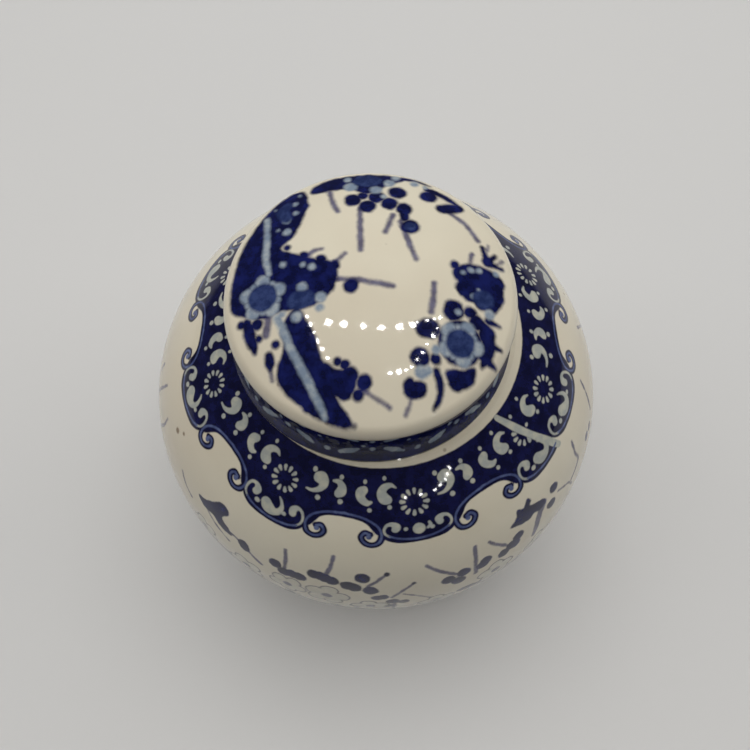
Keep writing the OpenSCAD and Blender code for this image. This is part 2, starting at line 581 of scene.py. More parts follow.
@dataclass
class CollarPrint:
    """The dark lobed collar, printed from a transfer that is wrapped round the shoulder."""

    radius: float = 43.0
    unit: float = 32.4
    slip: float = 1.2
    top: float = 33.3
    joint_turn: float = 321.0
    joint_run: float = 34.0
    joint_lean: float = 0.5
    joint_half: float = 0.95
    bays: tuple[float, ...] = (2.5, 45.5, 88.5, 132.0, 176.0, 218.0, 260.0, 303.0, 346.0)
    shallow_from: tuple[float, ...] = (88.5, 260.0)
    last_bays: tuple[float, float] = (319.3, 362.5)
    volute: tuple[Spot, ...] = (
        (-16.2, 43.9), (-12.9, 44.3), (-10.6, 45.1), (-9.0, 46.2), (-8.1, 47.6), (-8.0, 49.2),
        (-8.7, 50.6), (-10.1, 51.1), (-11.5, 50.5), (-12.2, 49.2), (-11.5, 48.1), (-10.4, 48.4),
    )
    edge: tuple[Spot, ...] = (
        (-16.9, 44.9), (-14.5, 45.0), (-12.3, 45.4), (-10.9, 46.2), (-10.0, 47.4), (-9.0, 49.0),
        (-8.2, 49.4), (-7.7, 50.2), (-6.8, 51.2), (-5.2, 52.1), (-3.0, 52.5), (0.0, 52.6),
    )

    def flat(self, turn: np.ndarray, run: np.ndarray) -> np.ndarray:
        """Returns where points fall on the flat transfer, from their turn and run."""
        x = np.radians(turn) * self.radius
        return np.stack([x, run - self.slip * np.cos(np.radians(turn))], axis=1)

    def side(self, x: np.ndarray, run: np.ndarray) -> np.ndarray:
        """Returns how far right of the transfer's joint each place is, in millimetres."""
        lean = self.joint_turn + self.joint_lean * (run - self.joint_run)
        return x - np.radians(lean) * self.radius

    def far_from_joint(self, x: np.ndarray) -> np.ndarray:
        """Returns which places are too far round to be cut off at the joint."""
        return np.abs(x - self.radius * math.radians(self.joint_turn + 4.0)) > 2 * self.unit

    def lobe(self, sheet: Sheet, kind: Lobe) -> None:
        """Lays one repeat: a lobe with its floret, and half a bay with its volute at each side.

        Args:
            sheet: The sheet to draw on, its middle on the lobe's middle.
            kind: How far the lobe hangs.
        """
        for way in (-1.0, 1.0):
            volute = [(way * -x, y) for x, y in self.volute]
            sheet.line(Ink.DARK, 0.78, *volute)
            sheet.line(Ink.OVER, 0.26, *volute)
            sheet.dot(Ink.OVER, way * 10.6, 49.1, 0.62)
        sheet.line(Ink.OVER, 0.26, (-6.3, 50.3), (-4.2, 51.2), (0, 51.7), (4.2, 51.2), (6.3, 50.3))
        left = ((-5.0, 48.0, 0.8), (-4.7, 47.2, 0.85), (-5.6, 46.3, 0.5), (-6.8, 46.6, 0.34))
        sheet.stroke(Ink.PALE, *left, (-7.4, 48.0, 0.3), (-7.2, 49.4, 0.27), (-6.3, 50.4, 0.24))
        right = ((4.7, 47.9, 0.8), (4.6, 47.0, 0.85), (5.5, 46.2, 0.5), (6.6, 46.6, 0.34))
        sheet.stroke(Ink.PALE, *right, (7.2, 48.0, 0.3), (7.0, 49.4, 0.27), (6.2, 50.4, 0.24))
        if kind is Lobe.DEEP:
            comma = ((-1.7, 48.7, 1.25), (-0.9, 49.5, 1.4), (0.5, 49.8, 0.95), (1.6, 49.2, 0.7))
            sheet.stroke(Ink.PALE, *comma, (2.0, 47.9, 0.5), (1.5, 46.6, 0.34), (0.8, 45.8, 0.2))
            sheet.dot(Ink.PALE, -3.8, 49.6, 0.6)
        else:
            sheet.dot(Ink.PALE, 0.0, 48.6, 1.35)
            sheet.dot(Ink.PALE, -2.8, 48.2, 0.45)
            sheet.stroke(Ink.PALE, (1.9, 48.9, 0.3), (2.6, 48.3, 0.4), (2.4, 47.2, 0.3))
        sheet.dot(Ink.PALE, 2.9, 49.0, 0.5)
        for i in range(12):
            a = math.radians(30 * i + 8)
            c, s = math.cos(a), math.sin(a)
            near, far = (2.3 * c, 41.3 + 2.0 * s, 0.26), (3.15 * c, 41.3 + 2.75 * s, 0.46)
            sheet.stroke(Ink.PALE, near, far)
        self.commas(sheet)

    def commas(self, sheet: Sheet) -> None:
        """Lays the four commas and their dots that stand between two florets.

        Args:
            sheet: The sheet.
        """
        sheet.stroke(Ink.PALE, (8.0, 37.6, 1.15), (9.2, 37.6, 1.45), (9.9, 38.6, 1.1),
                     (9.2, 39.9, 0.7), (7.6, 40.8, 0.42), (5.9, 40.9, 0.2))
        sheet.stroke(Ink.PALE, (14.0, 39.8, 0.95), (14.7, 39.1, 1.25), (14.6, 38.1, 0.95),
                     (13.6, 37.3, 0.6), (12.2, 37.3, 0.25))
        sheet.stroke(Ink.PALE, (-12.0, 38.2, 0.9), (-12.9, 38.9, 1.2), (-12.6, 40.1, 0.95),
                     (-11.3, 41.0, 0.7), (-10.2, 40.8, 0.3))
        sheet.stroke(Ink.PALE, (-6.2, 40.2, 0.95), (-7.2, 39.8, 1.35), (-7.7, 38.6, 1.1),
                     (-6.8, 37.4, 0.8), (-5.2, 37.0, 0.5), (-4.0, 37.6, 0.22))
        for x, y, size in ((6.6, 36.2, 0.6), (9.2, 42.0, 0.6), (14.2, 36.1, 0.55), (14.8, 41.5, 0.6),
                           (-11.9, 36.3, 0.5), (-10.6, 42.6, 0.5), (-6.8, 35.4, 0.5), (-5.9, 41.9, 0.5)):
            sheet.oval(Ink.PALE, x, y, size * 1.15, size, 0.0)

    def ground(self, kind: Lobe) -> np.ndarray:
        """Draws the dark ground's outline for one repeat.

        Args:
            kind: How far its lobe hangs.

        Returns:
            The outline's corners.
        """
        path = smooth_path([(x, y, 1.0) for x, y in self.edge], 0.5)[:, :2]
        mirror = path[::-1] * (-1.0, 1.0)
        lower = np.vstack([path, mirror[1:]])
        lower[:, 1] -= kind.value * np.clip((lower[:, 1] - 47.0) / 5.6, 0, 1)
        corners = np.array([(lower[-1, 0], self.top), (lower[0, 0], self.top)])
        return np.vstack([lower, corners])

    def sheet(self, transfer: "Transfer") -> Sheet:
        """Lays the whole collar.

        Args:
            transfer: Repeats a unit round the shoulder.

        Returns:
            The flat sheet, from one turn to the next.
        """
        whole = Sheet(limit=1.6)
        for kind in Lobe:
            unit = Sheet(step=0.16)
            self.lobe(unit, kind)
            for ink in Ink:
                for dabs in unit.dabs[ink]:
                    pull = kind.value * np.clip((dabs[:, 1] - 45.0) / 6.0, 0, 1)
                    dabs[:, 1] -= np.where(np.abs(dabs[:, 0]) < 7.8, pull, 0.0)
            pairs = list(zip(self.bays[:-1], self.bays[1:]))
            mine = [p for p in pairs if (p[0] in self.shallow_from) == (kind is Lobe.SHALLOW)]
            self._place(whole, unit, transfer, mine, -1.0, kind)
            if kind is Lobe.DEEP:
                around = [self.last_bays, tuple(b - 360.0 for b in self.last_bays)]
                self._place(whole, unit, transfer, around, 1.0, kind)
        self._joint(whole)
        return whole

    def _place(
        self, whole: Sheet, unit: Sheet, transfer: "Transfer",
        pairs: list[tuple[float, float]], keep: float, kind: Lobe,
    ) -> None:
        """Repeats a unit between pairs of bays and keeps what lies on one side of the joint.

        Args:
            whole: The whole collar's sheet.
            unit: The repeated unit's sheet.
            transfer: Repeats the unit.
            pairs: The bays at each side of each repeat, in degrees.
            keep: 1 to keep what is right of the joint, -1 for the left.
            kind: How far the lobe hangs.
        """
        middles = [self.radius * math.radians((a + b) / 2) for a, b in pairs]
        spreads = [self.radius * math.radians(b - a) / self.unit for a, b in pairs]
        for ink, dabs in transfer.repeat(unit, middles, spreads).items():
            side = self.side(dabs[:, 0], dabs[:, 1]) * keep - (1.7 if keep > 0 else 0.0)
            whole.dabs[ink].append(dabs[(side > 0) | self.far_from_joint(dabs[:, 0])])
        for middle, spread in zip(middles, spreads):
            ring = self.ground(kind) * (spread, 1.0) + (middle, 0.0)
            whole.area(Ink.DARK, self._clip(ring, keep))

    def _clip(self, ring: np.ndarray, keep: float) -> np.ndarray:
        """Cuts an outline off at the transfer's joint, if the joint crosses it.

        Args:
            ring: The outline.
            keep: 1 to keep what is right of the joint, -1 for the left.

        Returns:
            What is kept of the outline.
        """
        side = self.side(ring[:, 0], ring[:, 1]) * keep
        if (side > 0).all() or self.far_from_joint(ring[:, 0]).all():
            return ring
        out = []
        for i in range(len(ring)):
            a, b, sa, sb = ring[i - 1], ring[i], side[i - 1], side[i]
            if (sa > 0) != (sb > 0):
                out.append(a + (b - a) * sa / (sa - sb))
            if sb > 0:
                out.append(b)
        return np.array(out)

    def _joint(self, whole: Sheet) -> None:
        """Lays the pale diagonal line where the two ends of the transfer don't quite meet.

        Args:
            whole: The whole collar's sheet.
        """
        spots = []
        for i, share in enumerate((0.85, 1.05, 0.9, 1.0, 0.8)):
            run = self.joint_run + 4.6 * i
            x = self.radius * math.radians(self.joint_turn + self.joint_lean * (run - self.joint_run))
            spots.append((x, run, self.joint_half * share))
        whole.stroke(Ink.PALE, *spots)


class Transfer:
    """Repeats a printed unit along the flat transfer, with a Geometry Nodes tree."""

    SLACK = 0.12
    SEED = 3

    def __init__(self) -> None:
        """Builds the tree."""
        tree = bpy.data.node_groups.new("transfer_repeat", "GeometryNodeTree")
        w = Wiring(tree)
        w.sockets("INPUT", {"Geometry": "Geometry", "Unit": "Object", "Slack": "Float", "Seed": "Int"})
        w.sockets("OUTPUT", {"Geometry": "Geometry"})
        given = w.node("NodeGroupInput").outputs
        unit = w.node("GeometryNodeObjectInfo", {"Object": given["Unit"]})
        spread = w.node("GeometryNodeInputNamedAttribute", {"Name": "spread"}, data_type="FLOAT")
        scale = w.node("ShaderNodeCombineXYZ", {0: spread.outputs[0], 1: 1.0, 2: 1.0})
        least = w.math("MULTIPLY", given["Slack"], -1.0)
        links = {2: least, 3: given["Slack"], "Seed": given["Seed"]}
        slack = w.node("FunctionNodeRandomValue", links, data_type="FLOAT")
        shift = w.node("ShaderNodeCombineXYZ", {0: 0.0, 1: slack.outputs[1], 2: 0.0})
        links = {"Geometry": given["Geometry"], "Offset": shift.outputs[0]}
        moved = w.node("GeometryNodeSetPosition", links).outputs[0]
        links = {"Points": moved, "Instance": unit.outputs["Geometry"], "Scale": scale.outputs[0]}
        laid = w.node("GeometryNodeInstanceOnPoints", links)
        done = w.node("GeometryNodeRealizeInstances", {"Geometry": laid.outputs[0]})
        w.node("NodeGroupOutput", {"Geometry": done.outputs[0]})
        self.tree = tree

    def repeat(self, unit: Sheet, middles: list[float], spreads: list[float]) -> dict[Ink, np.ndarray]:
        """Repeats a unit.

        Args:
            unit: The unit, about its own middle.
            middles: Where each repeat's middle goes, in millimetres.
            spreads: How far each repeat is stretched lengthwise.

        Returns:
            The dabs of all the repeats, by ink.
        """
        inks = [ink for ink in Ink if unit.dabs[ink]]
        dabs = [np.vstack(unit.dabs[ink]) for ink in inks]
        kind = np.concatenate([np.full(len(d), i, np.float32) for i, d in enumerate(dabs)])
        rows = np.vstack(dabs)
        flat = np.column_stack([rows[:, :2], np.zeros(len(rows))])
        source = self._points("transfer_unit", flat, {"width": rows[:, 2], "kind": kind})
        places = np.column_stack([middles, np.zeros((len(middles), 2))])
        host = self._points("transfer_places", places, {"spread": np.array(spreads)})
        change = host.modifiers.new("repeat", "NODES")
        change.node_group = self.tree
        values = {"Unit": source, "Slack": self.SLACK, "Seed": self.SEED}
        for item in self.tree.interface.items_tree:
            if item.in_out == "INPUT" and item.name in values:
                change[item.identifier] = values[item.name]
        depsgraph = bpy.context.evaluated_depsgraph_get()
        made = bpy.data.meshes.new_from_object(host.evaluated_get(depsgraph))
        host.modifiers.remove(change)
        count = len(made.vertices)
        co = np.zeros(count * 3, np.float32)
        width, which = np.zeros(count, np.float32), np.zeros(count, np.float32)
        made.vertices.foreach_get("co", co)
        made.attributes["width"].data.foreach_get("value", width)
        made.attributes["kind"].data.foreach_get("value", which)
        for thing in (host, source):
            bpy.data.objects.remove(thing)
        bpy.data.meshes.remove(made)
        rows = np.column_stack([co.reshape(-1, 3)[:, :2], width]).astype(float)
        return {ink: rows[which.round() == i] for i, ink in enumerate(inks)}

    @staticmethod
    def _points(name: str, spots: np.ndarray, values: dict[str, np.ndarray]) -> bpy.types.Object:
        """Makes an object of loose points that carry values.

        Args:
            name: Its name.
            spots: The points.
            values: One number for each point, by name.

        Returns:
            The object.
        """
        made = bpy.data.meshes.new(name)
        made.from_pydata(spots.tolist(), [], [])
        for key, numbers in values.items():
            data = made.attributes.new(key, "FLOAT", "POINT").data
            data.foreach_set("value", np.asarray(numbers, np.float32))
        thing = bpy.data.objects.new(name, made)
        bpy.context.scene.collection.objects.link(thing)
        return thing


class LidPainting:
    """Plum blossom on the lid: a gnarled trunk at the left and sprays that come in from the rim."""

    def sheet(self) -> Sheet:
        """Lays the painting as it is seen from above."""
        sheet = Sheet(limit=2.0, step=0.3)
        self.trunk(sheet)
        self.twigs(sheet)
        self.top_spray(sheet)
        self.right_spray(sheet)
        return sheet

    def trunk(self, sheet: Sheet) -> None:
        """Lays the trunk, its two blossoms and the buds that hang from it.

        Args:
            sheet: The sheet.
        """
        sheet.fill(Ink.DARK, (-19, 22.5), (-22.6, 18), (-25.4, 13), (-27.3, 8), (-28.4, 2), (-28.3, -4),
                   (-25.2, -6.2), (-20.5, -6.8), (-16.5, -6.2), (-12.5, -6.0), (-9.6, -5.0), (-7.2, -2.4),
                   (-6.3, 0.4), (-7.4, 3.6), (-11.5, 5.0), (-15.6, 6.8), (-18.0, 8.4), (-15.6, 10.8),
                   (-14.2, 14), (-13.0, 18), (-12.9, 21), (-13.9, 24.2), (-16.4, 24.2))
        sheet.fill(Ink.DARK, (-14.5, -5.5), (-12.0, -9.0), (-10.2, -12.6), (-9.6, -15.6), (-7.8, -18.2),
                   (-6.0, -20.6), (-6.6, -23.4), (-3.6, -28.6), (-9.5, -27.6), (-14.3, -24.3),
                   (-17.8, -20.6), (-18.3, -17), (-17.0, -13.5), (-17.6, -9.6))
        sheet.stroke(Ink.PALE, (-21.6, 17, 0.75), (-21.3, 12, 0.6), (-21.2, 7, 0.7), (-20.4, 2.6, 0.55))
        sheet.stroke(Ink.PALE, (-18.2, -7.4, 0.9), (-17.0, -10.5, 0.8), (-15.5, -13.8, 0.75),
                     (-13.4, -17.8, 0.8), (-11.5, -21.6, 0.75), (-9.6, -25.4, 0.7), (-9.0, -27.0, 0.5))
        sheet.stroke(Ink.OVER, (-17.2, 20.4, 0.9), (-18.3, 18.4, 1.4), (-17.4, 16.2, 1.1))
        for x, y, r in ((-15.7, 20.4, 0.6), (-15.4, 17.6, 0.6), (-17.3, 15.6, 0.8), (-17.0, 12.4, 0.9),
                        (-18.9, 13.4, 0.4), (-17.6, 4.3, 0.7), (-14.8, 23.0, 0.45), (-20.0, 19.6, 0.35)):
            sheet.dot(Ink.PALE, x, y, r)
        sheet.stroke(Ink.WASH, (-13.2, 4.8, 0.6), (-11.5, 6.4, 0.5), (-9.6, 7.0, 0.45))
        self.rosette(sheet, (-21.5, -2.5), 4.7, 3.1, 92.0)
        sheet.oval(Ink.OVER, -13.6, -4.2, 2.9, 2.0, 8)
        for x, y, r in ((-13.4, -1.5, 1.05), (-9.7, -4.1, 1.1), (-9.9, -6.2, 0.9), (-14.4, -7.6, 1.1),
                        (-17.4, -6.8, 0.8), (-11.6, 2.9, 0.75), (-13.4, 3.6, 0.5)):
            sheet.dot(Ink.PALE, x, y, r)
        sheet.buds((-9.0, 1.2, 2.3), (-8.4, -1.6, 1.7), (-11.8, 1.0, 2.2), (-3.8, -2.0, 1.6))
        leaf = ((-24.6, -7.4, 1.1), (-24.0, -9.8, 1.3), (-23.2, -12.2, 1.0), (-22.8, -13.6, 0.5))
        sheet.stroke(Ink.DARK, *leaf)
        sheet.buds((-22.4, -8.0, 1.3), (-25.8, -7.6, 1.0), (-22.0, -11.0, 0.9), (-18.6, -12.6, 0.9),
                   (-12.2, -24.8, 1.2), (-5.0, -17.6, 1.1), (-6.4, -17.0, 0.9), (-2.6, -23.2, 1.2))
        sheet.buds((-7.0, 2.8, 1.1), (-9.8, 4.4, 1.2), (-13.2, 5.8, 1.0), (-16.8, 8.2, 0.8),
                   (-13.6, 19.4, 1.0))
        sheet.stroke(Ink.DARK, (-20.0, -14.6, 0.9), (-19.8, -16.0, 1.1), (-19.6, -17.4, 0.4))
        sheet.line(Ink.WASH, 0.35, (-19.6, -17.0), (-19.3, -19.4))
        sheet.fill(Ink.DARK, (-9.5, -16.8), (-6.4, -18.2), (-3.6, -18.6), (-2.6, -20.6), (-4.2, -23.6),
                   (-7.5, -23.0))
        sheet.buds((-7.4, -20.0, 1.9), (-4.2, -19.6, 1.9), (-5.2, -22.4, 1.8), (-1.4, -20.9, 1.6))
        sheet.stroke(Ink.DARK, (-8.0, -27.2, 1.0), (-5.6, -28.2, 0.8), (-3.4, -28.6, 0.5))
        sheet.line(Ink.WASH, 0.8, (-20.2, -7.4), (-20.6, -10.5))

    def rosette(self, sheet: Sheet, centre: Spot, outer: float, inner: float, turn: float) -> None:
        """Lays an open blossom: a blue heart inside a rim of five pale petals.

        Args:
            sheet: The sheet.
            centre: The blossom's centre.
            outer: The petals' outer radius.
            inner: The heart's radius.
            turn: The direction of the first petal in degrees.
        """
        x, y = centre
        sheet.dot(Ink.DARK, x, y, outer * 1.02)
        for i in range(5):
            a = math.radians(turn + 72 * i)
            reach = outer - 1.35
            sheet.dot(Ink.PALE, x + reach * math.cos(a), y + reach * math.sin(a), 1.55)
            b = a + math.radians(36)
            sheet.dot(Ink.PALE, x + inner * math.cos(b), y + inner * math.sin(b), 0.75)
        sheet.dot(Ink.OVER, x, y, inner)

    def twigs(self, sheet: Sheet) -> None:
        """Lays the thin grey-blue twigs.

        Args:
            sheet: The sheet.
        """
        for half, spots in (
            (0.5, ((-8.0, 3.0), (-6.4, 4.0), (-4.9, 5.4))),
            (0.62, ((-6.2, -0.4), (-1.6, -0.9), (4.4, -2.2))),
            (0.62, ((-1.9, 17.0), (-1.9, 11.0), (-1.8, 6.2))),
            (0.6, ((4.9, 15.2), (4.0, 12.8), (3.2, 10.6))),
            (0.62, ((6.4, 13.5), (7.6, 9.0), (9.1, 4.2))),
            (0.6, ((-8.4, 23.0), (-7.7, 19.6), (-6.6, 16.6))),
            (0.55, ((16.8, 17.2), (19.9, 14.6), (22.4, 10.6))),
            (0.62, ((12.6, -1.2), (12.4, -4.2), (11.8, -7.2))),
            (0.45, ((-1.6, -22.2), (0.6, -23.8), (3.4, -25.4))),
            (0.4, ((7.6, -23.8), (7.0, -25.4), (6.4, -26.8))),
            (0.5, ((20.2, 3.8), (20.6, 6.2), (20.9, 6.8))),
            (0.4, ((24.2, 8.6), (24.6, 9.8))), (0.4, ((26.2, 5.4), (27.4, 6.4))),
        ):
            sheet.line(Ink.WASH, half, *spots)

    def top_spray(self, sheet: Sheet) -> None:
        """Lays the spray at the far rim.

        Args:
            sheet: The sheet.
        """
        sheet.fill(Ink.DARK, (-12.4, 25.0), (-9.2, 27.2), (-5.6, 28.2), (0, 28.7), (5.6, 28.1), (7.8, 26.6),
                   (4.0, 24.6), (0, 21.6), (-4.6, 23.4), (-8.6, 23.2), (-12.2, 22.8))
        for x, y, r in ((-3.9, 24.2, 1.5), (1.4, 23.0, 1.3), (4.4, 25.4, 1.2), (-4.6, 27.0, 0.8),
                        (5.8, 27.4, 0.9), (3.0, 20.8, 0.6), (9.8, 25.6, 1.0), (12.0, 24.8, 0.6)):
            sheet.dot(Ink.PALE, x, y, r)
        sheet.oval(Ink.OVER, -0.4, 26.4, 3.4, 2.2, 0)
        sheet.buds((-3.4, 19.8, 1.9), (-0.4, 17.8, 1.9), (1.6, 20.6, 1.9), (4.2, 18.6, 1.9),
                   (6.0, 22.2, 2.0), (7.2, 17.2, 1.8), (12.6, 21.6, 1.9), (-1.4, 21.0, 1.3))
        sheet.line(Ink.DARK, 1.0, (6.9, 17.0), (7.2, 14.4))
        sheet.dot(Ink.DARK, 8.3, 12.2, 2.0)
        sheet.dot(Ink.OVER, 8.3, 12.3, 1.15)
        sheet.dot(Ink.PALE, 8.4, 12.4, 0.5)
        sheet.oval(Ink.DARK, 17.0, 18.6, 3.3, 1.5, 14)
        sheet.stroke(Ink.DARK, (12.4, 24.0, 0.8), (15.0, 22.8, 0.9), (18.0, 20.6, 0.7), (19.6, 19.2, 0.4))
        sheet.stroke(Ink.DARK, (7.0, 27.2, 0.7), (10.0, 26.8, 0.5), (13.0, 25.4, 0.4))

    def right_spray(self, sheet: Sheet) -> None:
        """Lays the spray at the right, with its open blossom.

        Args:
            sheet: The sheet.
        """
        sheet.buds((18.4, 1.6, 2.1), (19.0, -1.4, 2.2), (22.4, 0.9, 2.1), (25.6, 0.6, 1.9),
                   (25.2, -2.4, 1.9), (24.1, 5.6, 1.4), (17.0, 3.6, 1.1), (22.6, -3.6, 2.4),
                   (16.6, -6.6, 1.9), (22.8, -10.8, 1.9), (22.2, -14.4, 1.9), (20.8, -8.6, 1.7),
                   (10.8, -10.4, 1.9), (9.4, -16.2, 2.0), (16.6, -20.2, 2.0), (19.0, -19.0, 1.4),
                   (12.4, -16.4, 1.2), (19.6, -6.6, 1.4))
        sheet.fill(Ink.DARK, (17.0, 2.6), (20.5, 4.4), (24.6, 3.6), (26.8, 1.6), (26.8, -3.2), (24.2, -6.6),
                   (21.0, -4.8), (18.2, -3.4))
        sheet.fill(Ink.DARK, (20.8, -7.2), (23.6, -9.0), (24.6, -12.6), (23.6, -16.0), (21.2, -17.4),
                   (21.6, -12.0))
        sheet.fill(Ink.DARK, (15.2, -4.4), (17.8, -4.8), (18.4, -7.6), (15.8, -8.8), (14.0, -7.0))
        sheet.fill(Ink.DARK, (8.6, -9.6), (11.8, -8.4), (13.6, -10.4), (12.4, -12.6), (9.2, -12.0))
        sheet.fill(Ink.DARK, (14.4, -18.4), (18.2, -17.8), (20.4, -17.6), (19.8, -20.6), (16.4, -22.2),
                   (14.8, -20.8))
        for tip in ((23.2, 9.0), (25.8, 7.4), (27.0, 4.4)):
            sheet.stroke(Ink.DARK, (24.0, 5.2, 0.9), tip + (0.5,))
        for tip in ((25.6, -8.6), (25.6, -13.4), (24.4, -17.0)):
            sheet.stroke(Ink.DARK, (23.2, tip[1] + 0.8, 0.9), tip + (0.4,))
        sheet.oval(Ink.DARK, 8.4, -22.2, 2.5, 1.8, 8)
        sheet.oval(Ink.DARK, 7.2, -21.4, 1.6, 1.2, 60)
        sheet.stroke(Ink.DARK, (12.4, -18.6, 0.7), (13.2, -21.0, 0.8), (12.9, -23.6, 0.7),
                     (11.9, -25.6, 0.4))
        sheet.oval(Ink.OVER, 22.5, -3.4, 1.6, 2.0, 0)
        for x, y, r in ((20.4, 2.9, 0.6), (18.6, 2.0, 0.45), (22.0, 3.0, 0.7), (25.6, 3.0, 0.6),
                        (23.6, -6.4, 1.1), (20.4, -3.0, 0.5), (17.2, -6.8, 0.6), (21.6, -1.4, 0.35),
                        (9.6, -19.0, 1.3), (10.8, -18.6, 0.9), (12.6, -14.6, 0.9)):
            sheet.dot(Ink.PALE, x, y, r)
        self.rosette(sheet, (17.4, -13.0), 4.5, 2.9, 60.0)
        sheet.stroke(Ink.WASH, (19.0, -10.2, 0.9), (20.4, -11.6, 0.7), (20.8, -13.4, 0.6))


@dataclass
class SkirtBorder:
    """The dark printed band round the lid's skirt, with pale commas and dots."""

    radius: float = 30.0
    repeats: int = 20

    def sheet(self, low: float, high: float) -> Sheet:
        """Lays the band.

        Args:
            low: The run at the band's upper edge.
            high: The run at its lower edge.

        Returns:
            The flat sheet, from one turn to the next.
        """
        sheet = Sheet(limit=1.6)
        length = 2 * math.pi * self.radius
        corners = [(-3, low), (length + 3, low), (length + 3, high), (-3, high)]
        sheet.area(Ink.DARK, np.array(corners))
        middle, pitch = (low + high) / 2, length / self.repeats
        row = (high - low) / 5
        for i in range(-1, self.repeats + 1):
            x, way = pitch * (i + 0.5), 1 if i % 2 else -1
            for level, lean in ((middle - row, way), (middle + row, -way)):
                sheet.stroke(Ink.PALE, (x - 1.8, level + lean * 0.9, 0.6),
                             (x - 0.2, level + lean * 0.2, 0.85), (x + 1.6, level - lean * 0.8, 0.35))
                sheet.dot(Ink.PALE, x + pitch / 2, level - lean * 0.9, 0.65)
            sheet.dot(Ink.OVER, x + pitch / 2 - 1.4, middle + way * 0.6, 0.5)
            sheet.dot(Ink.PALE, x + 0.3 * pitch, middle - way * 0.4, 0.4)
        return sheet


@dataclass
class BellyPainting:
    """Plum sprays round the belly, painted lightly, with open porcelain between them."""

    radius: float = 54.0

    def flat(self, turn: np.ndarray, run: np.ndarray) -> np.ndarray:
        """Returns where points fall on the flat sheet."""
        return np.stack([np.radians(turn) * self.radius, run], axis=1)

    def at(self, turn: float, run: float) -> Spot:
        """Returns a place on the flat sheet from a turn in degrees and a run."""
        return math.radians(turn) * self.radius, run

    def sheet(self) -> Sheet:
        """Lays the painting round the whole belly."""
        sheet = Sheet(limit=1.8, step=0.35)
        self.front(sheet)
        self.edges(sheet)
        self.lower(sheet)
        return sheet

    def twig(self, sheet: Sheet, half: float, *places: Spot) -> None:
        """Lays a twig through places given as turn and run."""
        sheet.line(Ink.WASH, half, *[self.at(*p) for p in places])

    def cluster(self, sheet: Sheet, size: float, *places: Spot) -> None:
        """Lays dark buds at places given as turn and run."""
        for place in places:
            sheet.oval(Ink.DARK, *self.at(*place), size * 1.12, size, 15)

    def front(self, sheet: Sheet) -> None:
        """Lays the sprays that stand along the front of the shoulder.

        Args:
            sheet: The sheet.
        """
        leaf = ((218, 62.5), (221, 61), (225.5, 57), (228.5, 58.5), (227, 61.5), (229.5, 63),
                (231, 65), (227, 65), (224.5, 63.5), (221, 64))
        sheet.fill(Ink.DARK, *[self.at(*place) for place in leaf])
        self.twig(sheet, 0.35, (221.5, 63.5), (225.5, 66), (230.5, 68))
        self.twig(sheet, 0.45, (229, 64), (233.5, 64.5), (240.5, 68.5))
        sheet.oval(Ink.DARK, *self.at(235, 65), 2.2, 1.6, 60)
        self.twig(sheet, 0.4, (210, 63.5), (213, 66), (216, 67))
        self.twig(sheet, 0.55, (246, 58), (246.5, 62), (246.5, 65.5))
        self.cluster(sheet, 1.65, (244, 64.5), (246.5, 66.5), (248.5, 66), (250.5, 66))
        self.twig(sheet, 0.55, (258.5, 55.5), (258, 58.5), (257, 62))
        self.cluster(sheet, 1.7, (254, 63), (255.5, 63), (257, 63.5), (258.5, 64))
        self.cluster(sheet, 1.8, (266, 61.5), (262.5, 65), (264, 65.5), (268, 66.5))
        self.twig(sheet, 0.45, (267.5, 64.5), (270, 62), (272, 60))
        sheet.dot(Ink.DARK, *self.at(272, 60), 0.7)
        self.twig(sheet, 0.4, (273, 70.5), (276, 67), (278.5, 64.5))
        sheet.dot(Ink.DARK, *self.at(278.5, 64.5), 0.6)
        self.cluster(sheet, 1.3, (269.5, 70.5), (271, 70))
        self.twig(sheet, 0.3, (276, 69), (280, 72), (284.5, 77.5))
        self.twig(sheet, 0.55, (282, 59), (285, 62), (289, 65.5))
        self.cluster(sheet, 1.7, (291, 66), (287, 67), (289.5, 69))
        self.twig(sheet, 0.55, (295, 58.5), (294.5, 63), (294, 69))
        self.cluster(sheet, 1.6, (296, 66.5), (297, 65.5))
        self.twig(sheet, 0.5, (299, 59.5), (301, 62), (303.5, 65))
        self.cluster(sheet, 1.6, (307, 64.5), (304.5, 66), (302, 67), (305.5, 66.5))
        patch = ((309, 56), (311, 57), (313, 55.5), (314, 57), (313, 58), (317, 60), (317.5, 62),
                 (315, 62.5), (313, 61.5), (311, 62), (307, 60.5), (305.5, 59.5), (308, 58))
        sheet.fill(Ink.DARK, *[self.at(*place) for place in patch])
        stem = ((317, 61.5, 1.0), (314.5, 64, 1.1), (311.5, 70, 0.7))
        sheet.stroke(Ink.WASH, *[self.at(turn, run) + (half,) for turn, run, half in stem])
        sheet.oval(Ink.DARK, *self.at(321.5, 61), 1.8, 1.4, 20)
        sheet.oval(Ink.DARK, *self.at(319, 65), 1.8, 1.4, 30)
        self.twig(sheet, 0.35, (322.5, 64), (326.5, 67), (328, 70))
        self.twig(sheet, 0.45, (334, 58), (333, 62), (333, 66), (328, 68))

    def edges(self, sheet: Sheet) -> None:
        """Lays the twigs and patches at the sides, and the iron spots.

        Args:
            sheet: The sheet.
        """
        for spot in ((201.5, 57.2, 0.75), (203.8, 55.0, 0.5)):
            sheet.dot(Ink.SPECK, *self.at(spot[0], spot[1]), spot[2])
        self.twig(sheet, 0.42, (187.5, 58.5), (186, 64), (184, 71), (178, 82))
        self.twig(sheet, 0.4, (196, 61), (195.5, 66), (190, 78))
        self.twig(sheet, 0.4, (180, 61), (180.5, 64.5))
        self.twig(sheet, 0.4, (176, 75), (178, 72))
        self.twig(sheet, 0.42, (351, 56), (349, 60.5), (347, 65))
        self.twig(sheet, 0.4, (368, 58), (371.5, 66), (374.5, 75.5))
        self.twig(sheet, 0.4, (8, 58), (11.5, 66), (14.5, 75.5))
        self.cluster(sheet, 1.2, (340, 66.6), (343, 67.2))

